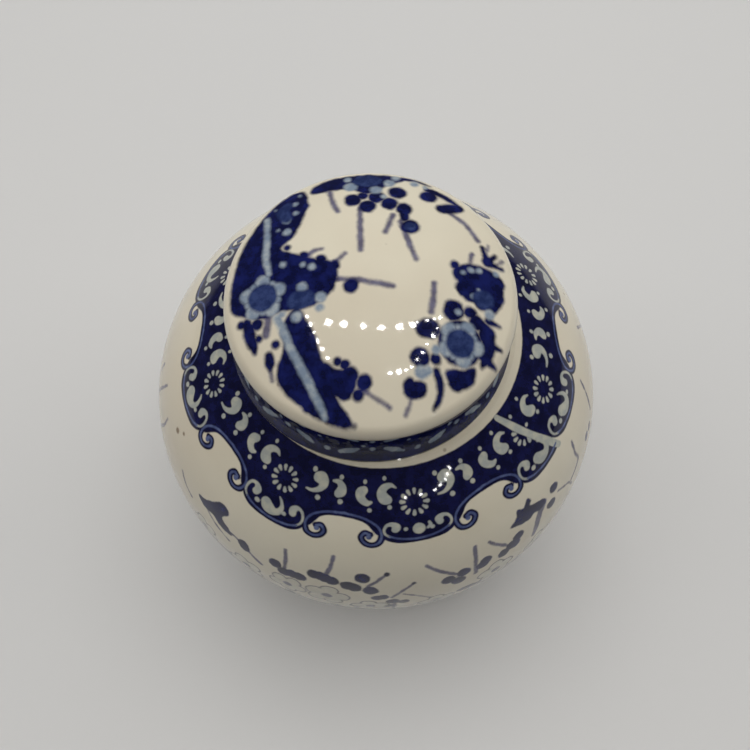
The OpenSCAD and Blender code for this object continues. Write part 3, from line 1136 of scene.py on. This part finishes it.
    def lower(self, sheet: Sheet) -> None:
        """Lays the blossoms under the front sprays, and sprays round the rest.

        Args:
            sheet: The sheet.
        """
        for turn, run, size in ((222, 74, 4.4), (236, 75.5, 4.6), (247.5, 72.5, 4.6), (257.5, 72, 5.2),
                                (268, 77, 4.4), (284, 79, 4.4), (299.5, 74, 4.8), (313, 76.5, 4.4),
                                (326, 77, 4.2)):
            sheet.blossom(*self.at(turn, run), size, turn * 5.0)
        for i in range(9):
            side = 1 if i % 2 else -1
            x, y = self.at(214 + 15 * i, 93 + 3 * side)
            sheet.spray(x, y, 26.0, 60 + 50 * side, 20 + i)
        for i, turn in enumerate((14, 40, 66, 94, 122, 150, 178)):
            x, y = self.at(turn, 118 - 5 * (i % 2))
            sheet.spray(x, y, 34.0, -100 + 28 * (i % 3), 40 + i)


# ---------------------------------------------------------------- finishes


class GlazeBody:
    """Cream glaze over porcelain: slow changes of colour, tiny iron specks, an uneven skin."""

    def __init__(self) -> None:
        """Builds the node group."""
        tree = bpy.data.node_groups.new("glaze_body", "ShaderNodeTree")
        w = Wiring(tree)
        w.sockets("INPUT", {"Thin": "Color", "Thick": "Color", "Iron": "Color", "Iron Amount": "Float"})
        w.sockets("OUTPUT", {"Color": "Color", "Roughness": "Float", "Height": "Float"})
        given = w.node("NodeGroupInput").outputs
        where = w.node("ShaderNodeTexCoord").outputs["Object"]
        slow = self._noise(w, where, 16.0, 3.0, 0.55)
        colour = w.mix(w.ramp(slow, 0.34, 0.68), given["Thin"], given["Thick"])
        cloud = self._noise(w, where, 90.0, 4.0, 0.6)
        links = {"Value": w.math("MULTIPLY_ADD", cloud, 0.08, 0.96), "Color": colour}
        shade = w.node("ShaderNodeHueSaturation", links)
        grains = w.node("ShaderNodeTexVoronoi", {"Vector": where, "Scale": 420.0})
        chance = w.node("ShaderNodeSeparateColor", {0: grains.outputs["Color"]}).outputs[0]
        rare = w.math("GREATER_THAN", chance, 0.986)
        grain = w.ramp(grains.outputs["Distance"], 0.26, 0.10)
        iron = w.math("MULTIPLY", w.math("MULTIPLY", rare, grain), given["Iron Amount"])
        done = w.mix(iron, shade.outputs[0], given["Iron"])
        skin = self._noise(w, where, 260.0, 2.0, 0.5)
        pool = self._noise(w, where, 38.0, 2.0, 0.5)
        height = w.math("MULTIPLY_ADD", skin, 0.25, pool)
        rough = w.math("MULTIPLY_ADD", cloud, 0.05, 0.02)
        w.node("NodeGroupOutput", {"Color": done, "Roughness": rough, "Height": height})
        self.tree = tree

    @staticmethod
    def _noise(w: Wiring, where: object, scale: float, detail: float, rough: float) -> bpy.types.NodeSocket:
        """Returns a noise value on the object's own coordinates."""
        links = {"Vector": where, "Scale": scale, "Detail": detail, "Roughness": rough}
        return w.node("ShaderNodeTexNoise", links).outputs["Fac"]


class InkCoat:
    """One coat of colour under the glaze, laid where the stored distance is inside its edge."""

    def __init__(self) -> None:
        """Builds the node group."""
        tree = bpy.data.node_groups.new("ink_coat", "ShaderNodeTree")
        w = Wiring(tree)
        w.sockets("INPUT", {"Under": "Color", "Distance": "Float", "Edge": "Float", "Ragged": "Float",
                            "Deep": "Color", "Light": "Color", "Strength": "Float"})
        w.sockets("OUTPUT", {"Color": "Color"})
        given = w.node("NodeGroupInput").outputs
        where = w.node("ShaderNodeTexCoord").outputs["Object"]
        waver = w.node("ShaderNodeTexNoise", {"Vector": where, "Scale": 520.0, "Detail": 3.0})
        shift = w.math("MULTIPLY_ADD", waver.outputs["Fac"], 2.0, -1.0)
        far = w.math("MULTIPLY_ADD", shift, given["Ragged"], given["Distance"])
        inner = w.math("MULTIPLY", given["Edge"], -1.0)
        cover = w.ramp(far, given["Edge"], inner)
        links = {"Vector": where, "Scale": 420.0, "Detail": 3.0, "Roughness": 0.6}
        blot = w.node("ShaderNodeTexNoise", links)
        colour = w.mix(w.ramp(blot.outputs["Fac"], 0.36, 0.70), given["Deep"], given["Light"])
        part = w.math("MULTIPLY", cover, given["Strength"])
        done = w.mix(part, given["Under"], colour)
        w.node("NodeGroupOutput", {"Color": done})
        self.tree = tree


@dataclass(frozen=True)
class InkTone:
    """The two ends of one ink's colour, and how strongly it covers."""

    deep: tuple[float, float, float, float]
    light: tuple[float, float, float, float]
    strength: float = 1.0


@dataclass(frozen=True)
class Glaze:
    """Glossy glaze with the inks that lie under it."""

    name: str
    edge: float = 0.12
    ragged: float = 0.1
    iron: float = 0.5
    inks: tuple[tuple[Ink, InkTone], ...] = ()
    shine: float = 0.5
    bare_below: float | None = None
    bare_waver: float = 0.0012
    bare_blend: float = 0.0004
    bare_rough: float = 0.6

    def material(self, body: GlazeBody, coat: InkCoat) -> bpy.types.Material:
        """Builds the material.

        Args:
            body: The shared glaze group.
            coat: The shared ink group.

        Returns:
            The finished material.
        """
        made = bpy.data.materials.new(self.name)
        made.use_nodes = True
        made.node_tree.nodes.clear()
        w = Wiring(made.node_tree)
        links = {"Thin": CREAM_THIN, "Thick": CREAM_THICK, "Iron": RUST, "Iron Amount": self.iron}
        clay = w.node("ShaderNodeGroup", None, node_tree=body.tree)
        for key, value in links.items():
            clay.inputs[key].default_value = value
        colour = clay.outputs["Color"]
        for ink, shade in self.inks:
            far = w.node("ShaderNodeAttribute", attribute_name=ink.value).outputs["Fac"]
            layer = w.node("ShaderNodeGroup", None, node_tree=coat.tree)
            for key, value in {"Edge": self.edge, "Ragged": self.ragged, "Deep": shade.deep,
                               "Light": shade.light, "Strength": shade.strength}.items():
                layer.inputs[key].default_value = value
            w.tree.links.new(colour, layer.inputs["Under"])
            w.tree.links.new(far, layer.inputs["Distance"])
            colour = layer.outputs["Color"]
        rough = clay.outputs["Roughness"]
        if self.bare_below is not None:
            where = w.node("ShaderNodeTexCoord").outputs["Object"]
            height = w.node("ShaderNodeSeparateXYZ", {0: where}).outputs[2]
            waver = w.node("ShaderNodeTexNoise", {"Vector": where, "Scale": 120.0}).outputs["Fac"]
            level = w.math("MULTIPLY_ADD", waver, self.bare_waver, height)
            bare = w.ramp(level, self.bare_below + self.bare_blend, self.bare_below - self.bare_blend)
            colour = w.mix(bare, colour, BARE_CLAY)
            rough = w.math("MULTIPLY_ADD", bare, self.bare_rough, rough)
        links = {"Height": clay.outputs["Height"], "Strength": 0.12, "Distance": 0.0009}
        bump = w.node("ShaderNodeBump", links)
        links = {"Base Color": colour, "Roughness": rough, "Normal": bump.outputs[0], "IOR": 1.5,
                 "Specular IOR Level": self.shine}
        shader = w.node("ShaderNodeBsdfPrincipled", links)
        w.node("ShaderNodeOutputMaterial", {"Surface": shader.outputs[0]})
        return made


NAVY = InkTone(tone(5, 6, 44), tone(16, 19, 66))
LINE_BLUE = InkTone(tone(66, 76, 118), tone(96, 108, 146))
REST_PALE = InkTone(tone(158, 162, 158), tone(184, 183, 168))
GREY_BLUE = InkTone(tone(60, 58, 92), tone(88, 86, 118), 0.9)
COBALT = InkTone(tone(4, 8, 50), tone(16, 24, 82))
HEART = InkTone(tone(26, 38, 80), tone(48, 62, 106))
PETAL = InkTone(tone(120, 134, 152), tone(158, 166, 170))
BARE_PETAL = InkTone(tone(196, 193, 177), tone(209, 203, 187))
IRON = InkTone(tone(96, 72, 40), tone(128, 98, 58), 0.85)
CREAM_THIN = tone(214, 207, 188)
CREAM_THICK = tone(206, 196, 176)
RUST = tone(92, 66, 38)
BARE_CLAY = tone(176, 160, 132)


class Finishes:
    """The glazes that the jar and the lid wear."""

    def __init__(self) -> None:
        """Builds the shared groups and the materials."""
        body, coat = GlazeBody(), InkCoat()
        collar = ((Ink.DARK, NAVY), (Ink.PALE, REST_PALE), (Ink.OVER, LINE_BLUE))
        belly = ((Ink.WASH, GREY_BLUE), (Ink.DARK, COBALT), (Ink.PALE, BARE_PETAL), (Ink.OVER, GREY_BLUE),
                 (Ink.SPECK, IRON))
        lid = ((Ink.WASH, GREY_BLUE), (Ink.DARK, COBALT), (Ink.PALE, PETAL), (Ink.OVER, HEART))
        glazes = {
            "collar": Glaze("collar_glaze", edge=0.2, inks=collar),
            "belly": Glaze("belly_glaze", edge=0.3, ragged=0.35, inks=belly),
            "lid": Glaze("lid_glaze", edge=0.5, ragged=0.4, inks=lid),
            "skirt": Glaze("skirt_glaze", edge=0.3, ragged=0.5, shine=0.2, inks=lid),
            "plain": Glaze("plain_glaze"),
            "foot": Glaze("foot_glaze", bare_below=0.0012),
        }
        made = {key: glaze.material(body, coat) for key, glaze in glazes.items()}
        self.collar, self.belly, self.plain = made["collar"], made["belly"], made["plain"]
        self.lid, self.skirt, self.foot = made["lid"], made["skirt"], made["foot"]


# ---------------------------------------------------------------- the jar and its lid


@dataclass
class JarSizes:
    """The jar's half section, in millimetres, as the CAD has it."""

    belly_r: float = 57.5
    belly_h: float = 62.4
    crown_rise: float = 46.0
    slack: float = 6.0
    wall: float = 4.0
    floor_z: float = 8.0
    foot_r: float = 34.0
    foot_h: float = 5.0
    foot_rim: float = 5.0
    foot_recess: float = 3.0
    recess_round: float = 0.6
    rim_round: float = 0.4
    mouth_r: float = 20.8
    neck_wall: float = 3.5
    neck_h: float = 9.4
    seat_r: float = 31.4
    seat_wall: float = 4.0
    split_run: float = 54.4

    def __post_init__(self) -> None:
        """Works out the arcs."""
        self.curve = self.crown_rise - self.slack
        self.belly_x = self.belly_r - self.curve
        top = self.belly_x**2 + self.crown_rise**2 - self.curve**2
        self.shoulder_r = top / (2 * self.slack)
        self.shoulder_z = self.belly_h + self.crown_rise - self.shoulder_r
        self.join = math.acos(self.belly_x / (self.shoulder_r - self.curve))
        self.join_run = self.shoulder_r * (math.pi / 2 - self.join)
        self.widest_run = self.join_run + self.curve * self.join
        self.split_turn = self.join + (self.join_run - self.split_run) / self.curve
        drop, draw = self.belly_h - self.foot_h, self.belly_r - self.foot_r
        self.lower_r = (draw**2 + drop**2) / (2 * draw)
        self.lower_x = self.belly_r - self.lower_r
        self.foot_turn = math.asin(drop / self.lower_r)
        self.foot_run = self.widest_run + self.lower_r * self.foot_turn
        self.seat_turn = math.acos(self.seat_r / self.shoulder_r)
        self.seat_z = self.shoulder_z + self.shoulder_r * math.sin(self.seat_turn)
        self.neck_top = self.seat_z + self.neck_h


@dataclass
class Jar:
    """The jar: its foot, belly, shoulder, seat and neck, and its inside."""

    wheel: Wheel
    finishes: Finishes
    size: JarSizes = field(default_factory=JarSizes)
    collar: CollarPrint = field(default_factory=CollarPrint)
    belly: BellyPainting = field(default_factory=BellyPainting)
    body: str = "jar"
    node: str = "jar_body"
    centre: Vector = field(default_factory=lambda: Vector((0.0, 0.0, 0.0)))

    def __post_init__(self) -> None:
        """Draws the belly's sheet once."""
        self.belly_sheet = self.belly.sheet()

    def build(self) -> list[bpy.types.Object]:
        """Returns the jar's finished pieces."""
        foot, lower, upper = self.foot(), self.lower_belly(), self.upper_belly()
        made = [foot, lower, upper, self.shoulder(), self.neck(), self.inside()]
        for piece in made:
            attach(piece, self.body)
        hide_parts(self.node)
        return made

    def _turn(self, name: str, section: Section, steps: int, glaze: bpy.types.Material) -> bpy.types.Object:
        """Returns one turned shell on the jar's axis."""
        return self.wheel.shell(name, section, steps, glaze, self.centre)

    def foot(self) -> bpy.types.Object:
        """Returns the foot ring and the underside."""
        s, edge = self.size, self.size.foot_rim / 4
        inner, corner, lip = s.foot_r - s.foot_rim, s.recess_round, s.rim_round
        shape = Section(run=200.0)
        shape.line((0, s.foot_recess), (inner - corner, s.foot_recess), 2.0)
        shape.arc((inner - corner, s.foot_recess - corner), corner, math.pi / 2, 0.0, 0.15)
        shape.line((inner, s.foot_recess - corner), (inner, lip), 0.5)
        shape.arc((inner + lip, lip), lip, math.pi, 1.5 * math.pi, 0.1)
        shape.line((inner + lip, 0), (s.foot_r - edge, 0), 0.6)
        shape.arc((s.foot_r - edge, edge), edge, -math.pi / 2, 0.0, 0.15)
        shape.line((s.foot_r, edge), (s.foot_r, s.foot_h), 0.4)
        return self._turn("jar_foot", shape, 240, self.finishes.foot)

    def lower_belly(self) -> bpy.types.Object:
        """Returns the belly from the foot up to the widest line."""
        s = self.size
        shape = Section(run=s.foot_run)
        shape.arc((s.lower_x, s.belly_h), s.lower_r, -s.foot_turn, 0.0, 0.75)
        piece = self._turn("jar_lower_belly", shape, 640, self.finishes.belly)
        return self._paint(piece)

    def upper_belly(self) -> bpy.types.Object:
        """Returns the belly from the widest line up to the collar."""
        s = self.size
        shape = Section(run=s.widest_run)
        shape.arc((s.belly_x, s.belly_h), s.curve, 0.0, s.split_turn, 0.42)
        piece = self._turn("jar_upper_belly", shape, 800, self.finishes.belly)
        return self._paint(piece)

    def _paint(self, piece: bpy.types.Object) -> bpy.types.Object:
        """Lays the belly painting on a piece.

        Args:
            piece: The piece.

        Returns:
            The same piece.
        """
        _, turn, run = flat_points(piece, self.centre)
        self.belly_sheet.print_on(piece, self.belly.flat(turn, run))
        return piece

    def shoulder(self) -> bpy.types.Object:
        """Returns the shoulder with the collar."""
        s = self.size
        shape = Section(run=s.split_run)
        shape.arc((s.belly_x, s.belly_h), s.curve, s.split_turn, s.join, 0.28)
        shape.arc((0, s.shoulder_z), s.shoulder_r, s.join, s.seat_turn, 0.28)
        piece = self._turn("jar_shoulder", shape, 900, self.finishes.collar)
        _, turn, run = flat_points(piece, self.centre)
        self.collar.sheet(Transfer()).print_on(piece, self.collar.flat(turn, run))
        return piece

    def neck(self) -> bpy.types.Object:
        """Returns the flat seat and the neck."""
        s = self.size
        top, neck_r = s.neck_wall / 2, s.mouth_r + s.neck_wall
        shape = Section(run=34.0)
        shape.line((s.seat_r, s.seat_z), (neck_r, s.seat_z), 0.8)
        shape.line((neck_r, s.seat_z), (neck_r, s.neck_top - top), 0.8)
        shape.arc((s.mouth_r + top, s.neck_top - top), top, 0.0, math.pi, 0.25)
        shape.line((s.mouth_r, s.neck_top - top), (s.mouth_r, s.seat_z - s.seat_wall), 0.8)
        return self._turn("jar_neck", shape, 300, self.finishes.plain)

    def inside(self) -> bpy.types.Object:
        """Returns the inside of the jar."""
        s = self.size
        inner_r = s.shoulder_r - s.wall
        ceiling = s.seat_z - s.seat_wall
        start = math.asin((ceiling - s.shoulder_z) / inner_r)
        shape = Section(run=60.0)
        shape.line((s.mouth_r, ceiling), (inner_r * math.cos(start), ceiling), 1.5)
        shape.arc((0, s.shoulder_z), inner_r, start, s.join, 1.5)
        shape.arc((s.belly_x, s.belly_h), s.curve - s.wall, s.join, 0.0, 1.5)
        low_r = s.lower_r - s.wall
        low = math.asin((s.belly_h - s.floor_z) / low_r)
        shape.arc((s.lower_x, s.belly_h), low_r, 0.0, -low, 1.8)
        shape.line((s.lower_x + low_r * math.cos(low), s.floor_z), (0, s.floor_z), 2.0)
        return self._turn("jar_inside", shape, 180, self.finishes.plain)


@dataclass
class Lid:
    """The loose cap lid: its dome and lip, its skirt, and its hollow."""

    wheel: Wheel
    finishes: Finishes
    seat_z: float
    height: float = 23.6
    lip_h: float = 13.8
    lip_round: float = 3.4
    bore_r: float = 26.7
    waist_r: float = 29.2
    lip_over: float = 1.3
    flare: float = 2.1
    waist_h: float = 9.8
    plain_edge: float = 1.0
    skirt_run: float = 20.0
    bare_edge: float = 0.35
    band_over: float = 2.0
    under_spread: float = 1.2
    wall: float = 3.2
    painting: LidPainting = field(default_factory=LidPainting)
    border: SkirtBorder = field(default_factory=SkirtBorder)
    body: str = "lid"
    node: str = "lid"

    def __post_init__(self) -> None:
        """Works out the arcs and where the lid stands."""
        low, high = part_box(self.node)
        self.centre = Vector(((low.x + high.x) / 2, (low.y + high.y) / 2, 0.0))
        self.lip_x = self.waist_r + self.lip_over - self.lip_round
        self.lip_z = self.seat_z + self.lip_h
        rise = self.height - self.lip_h
        self.dome_r = (self.lip_x**2 + rise**2 - self.lip_round**2) / (2 * (rise - self.lip_round))
        self.dome_z = self.seat_z + self.height - self.dome_r
        self.dome_turn = math.acos(self.lip_x / (self.dome_r - self.lip_round))
        drop = self.waist_h - self.plain_edge
        self.cove_r = (self.flare**2 + drop**2) / (2 * self.flare)
        self.cove_turn = math.asin(drop / self.cove_r)
        fall = math.sqrt(self.lip_round**2 - (self.waist_r - self.lip_x) ** 2)
        self.under = math.asin(fall / self.lip_round)

    def build(self) -> list[bpy.types.Object]:
        """Returns the lid's finished pieces."""
        cap = self.cap()
        made = [cap, self.skirt(), self.hollow()]
        for piece in made:
            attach(piece, self.body)
        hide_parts(self.node)
        return made

    def cap(self) -> bpy.types.Object:
        """Returns the dome and the lip."""
        shape = Section(run=60.0)
        shape.arc((self.lip_x, self.lip_z), self.lip_round, -self.under, self.dome_turn, 0.35)
        shape.arc((0, self.dome_z), self.dome_r, self.dome_turn, math.pi / 2, 0.33)
        piece = self.wheel.shell("lid_cap", shape, 620, self.finishes.lid, self.centre)
        spots, _, _ = flat_points(piece, self.centre)
        spots[:, :2] *= np.where(spots[:, 2:3] < self.lip_z, self.under_spread, 1.0)
        self.painting.sheet().print_on(piece, spots[:, :2])
        return piece

    def skirt(self) -> bpy.types.Object:
        """Returns the skirt with its printed band."""
        foot_r, low = self.waist_r + self.flare, self.seat_z + self.plain_edge
        shape = Section(run=self.skirt_run)
        shape.line((foot_r, self.seat_z), (foot_r, low), 0.4)
        centre = (self.waist_r + self.cove_r, self.seat_z + self.waist_h)
        shape.arc(centre, self.cove_r, math.pi + self.cove_turn, math.pi, 0.35)
        top = self.lip_z - self.lip_round * math.sin(self.under)
        shape.line((self.waist_r, self.seat_z + self.waist_h), (self.waist_r, top), 0.35)
        piece = self.wheel.shell("lid_skirt", shape, 620, self.finishes.skirt, self.centre)
        _, turn, run = flat_points(piece, self.centre)
        sheet = self.border.sheet(shape.run - self.band_over, self.skirt_run - self.bare_edge)
        x = np.radians(turn) * self.border.radius
        sheet.print_on(piece, np.stack([x, run], axis=1))
        return piece

    def hollow(self) -> bpy.types.Object:
        """Returns the lid's foot face and its hollow."""
        foot_r, ceiling = self.waist_r + self.flare, self.dome_r - self.wall
        edge = math.acos(self.bore_r / ceiling)
        top = self.dome_z + ceiling * math.sin(edge)
        shape = Section(run=40.0)
        shape.arc((0, self.dome_z), ceiling, math.pi / 2, edge, 1.2)
        shape.line((self.bore_r, top), (self.bore_r, self.seat_z), 0.8)
        shape.line((self.bore_r, self.seat_z), (foot_r, self.seat_z), 0.8)
        return self.wheel.shell("lid_hollow", shape, 200, self.finishes.plain, self.centre)


# ---------------------------------------------------------------- the studio


@dataclass(frozen=True)
class LampRun:
    """A run of small lamps on one rail, by its corners seen from above, in metres."""

    name: str
    rail: tuple[Spot, ...]
    count: int
    size: float
    glow: float


@dataclass(frozen=True)
class SoftLight:
    """A square light that faces the object: its place and width in metres, its power in watts."""

    name: str
    spot: tuple[float, float, float]
    size: float
    power: float


@dataclass
class Studio:
    """A pale floor, soft light from above and a string of small lamps."""

    camera_spot: tuple[float, float, float] = (-0.0002, -0.0709, 0.2541)
    camera_tilt: float = 68.7
    camera_roll: float = -0.8
    lens: float = 36.0
    sensor: float = 36.0
    nearest: float = 0.01
    farthest: float = 10.0
    floor_half: float = 2.5
    sky_glow: float = 0.1
    backdrop_glow: float = 0.5
    lamp_height: float = 1.2
    aim_height: float = 0.06
    soft_lights: tuple[SoftLight, ...] = (
        SoftLight("overhead", (0.05, 0.25, 1.3), 1.2, 10.0),
        SoftLight("behind", (0.0, 1.2, 1.3), 1.8, 6.8),
        SoftLight("right", (1.2, 0.3, 1.2), 1.2, 6.4),
        SoftLight("left", (-1.2, 0.3, 1.2), 1.2, 7.2),
    )
    lamp_runs: tuple[LampRun, ...] = (
        LampRun("back", ((-0.35, 0.17), (-0.19, 0.13), (0.01, 0.1), (0.2, 0.1), (0.34, 0.13)),
                6, 0.042, 240.0),
        LampRun("left", ((-0.56, 0.26), (-0.47, 0.06), (-0.37, -0.14)), 6, 0.016, 640.0),
        LampRun("right", ((0.38, 0.16), (0.52, 0.21), (0.61, 0.24)), 4, 0.018, 640.0),
        LampRun("right_side", ((0.58, 0.14), (0.45, -0.06), (0.34, -0.22)), 6, 0.016, 640.0),
        LampRun("right_front", ((0.29, -0.26), (0.15, -0.29)), 3, 0.022, 640.0),
        LampRun("front", ((0.40, -1.63), (0.84, -1.54), (0.93, -1.34), (0.93, -1.12)), 7, 0.04, 120.0),
    )

    def build(self) -> None:
        """Makes the floor, the lights and the camera."""
        scene = bpy.context.scene
        scene.view_settings.view_transform = "Standard"
        self.floor()
        self.sky()
        for light in self.soft_lights:
            self.hang(light)
        for run in self.lamp_runs:
            self.lamps(run)
        self.camera()

    def floor(self) -> None:
        """Makes the floor."""
        made = bpy.data.meshes.new("studio_floor")
        h = self.floor_half
        made.from_pydata([(-h, -h, 0), (h, -h, 0), (h, h, 0), (-h, h, 0)], [], [(0, 1, 2, 3)])
        paint = bpy.data.materials.new("studio_paper")
        paint.use_nodes = True
        paint.node_tree.nodes.clear()
        w = Wiring(paint.node_tree)
        where = w.node("ShaderNodeTexCoord").outputs["Object"]
        cloud = w.node("ShaderNodeTexNoise", {"Vector": where, "Scale": 3.0, "Detail": 2.0}).outputs["Fac"]
        colour = w.mix(cloud, tone(203, 203, 203), tone(209, 208, 207))
        links = {"Base Color": colour, "Roughness": 0.55, "Specular IOR Level": 0.25}
        shader = w.node("ShaderNodeBsdfPrincipled", links)
        w.node("ShaderNodeOutputMaterial", {"Surface": shader.outputs[0]})
        made.materials.append(paint)
        floor = bpy.data.objects.new("studio_floor", made)
        bpy.context.scene.collection.objects.link(floor)

    def sky(self) -> None:
        """Fills the studio with even light."""
        world = bpy.data.worlds.new("studio_light")
        bpy.context.scene.world = world
        world.use_nodes = True
        w = Wiring(world.node_tree)
        world.node_tree.nodes.clear()
        seen = w.node("ShaderNodeLightPath").outputs["Is Camera Ray"]
        strength = w.math("MULTIPLY_ADD", seen, self.backdrop_glow, self.sky_glow)
        shine = w.node("ShaderNodeBackground", {"Color": (0.80, 0.81, 0.83, 1.0), "Strength": strength})
        w.node("ShaderNodeOutputWorld", {"Surface": shine.outputs[0]})

    def hang(self, light: SoftLight, gleams: bool = False) -> None:
        """Hangs a light.

        Args:
            light: The light.
            gleams: Whether it shows in the glaze and lights nothing else.
        """
        lamp = bpy.data.lights.new(light.name, "AREA")
        lamp.size, lamp.energy = light.size, light.power
        lamp.color = (1.0, 0.99, 0.965)
        thing = bpy.data.objects.new(light.name, lamp)
        thing.location = light.spot
        away = Vector(light.spot) - Vector((0, 0, self.aim_height))
        thing.rotation_euler = away.to_track_quat("Z", "Y").to_euler()
        thing.visible_glossy, thing.visible_diffuse = gleams, not gleams
        bpy.context.scene.collection.objects.link(thing)

    def lamps(self, run: LampRun) -> None:
        """Hangs a run of small bright lamps.

        Args:
            run: The run.
        """
        corners = np.array(run.rail)
        along = np.linspace(0, len(corners) - 1, run.count)
        places = [np.interp(along, range(len(corners)), corners[:, i]) for i in (0, 1)]
        for i, (x, y) in enumerate(zip(*places)):
            spot = (float(x), float(y), self.lamp_height)
            self.hang(SoftLight(f"{run.name}_{i}", spot, run.size, run.glow * run.size**2), True)

    def camera(self) -> None:
        """Sets up the camera."""
        view = bpy.data.cameras.new("camera")
        view.lens, view.sensor_width = self.lens, self.sensor
        view.clip_start, view.clip_end = self.nearest, self.farthest
        tilt, roll = math.radians(self.camera_tilt), math.radians(self.camera_roll)
        level_up = Vector((0, math.sin(tilt), math.cos(tilt)))
        back = Vector((0, -math.cos(tilt), math.sin(tilt)))
        right = Vector((1, 0, 0))
        across = right * math.cos(roll) + level_up * math.sin(roll)
        up = level_up * math.cos(roll) - right * math.sin(roll)
        facing = Matrix((across, up, back)).transposed().to_4x4()
        thing = bpy.data.objects.new("camera", view)
        thing.matrix_world = Matrix.Translation(Vector(self.camera_spot)) @ facing
        bpy.context.scene.collection.objects.link(thing)
        bpy.context.scene.camera = thing


def main() -> None:
    """Builds the jar, the lid and the studio, and reports each piece."""
    logging.basicConfig(level=logging.INFO, format="%(name)s: %(message)s", stream=sys.stdout)
    Studio().build()
    wheel, finishes = Wheel(), Finishes()
    jar = Jar(wheel, finishes)
    for part in (jar, Lid(wheel, finishes, jar.size.seat_z)):
        for piece in part.build():
            LOG.info("%s: %d faces", piece.name, len(piece.data.polygons))


if __name__ == "__main__":
    main()
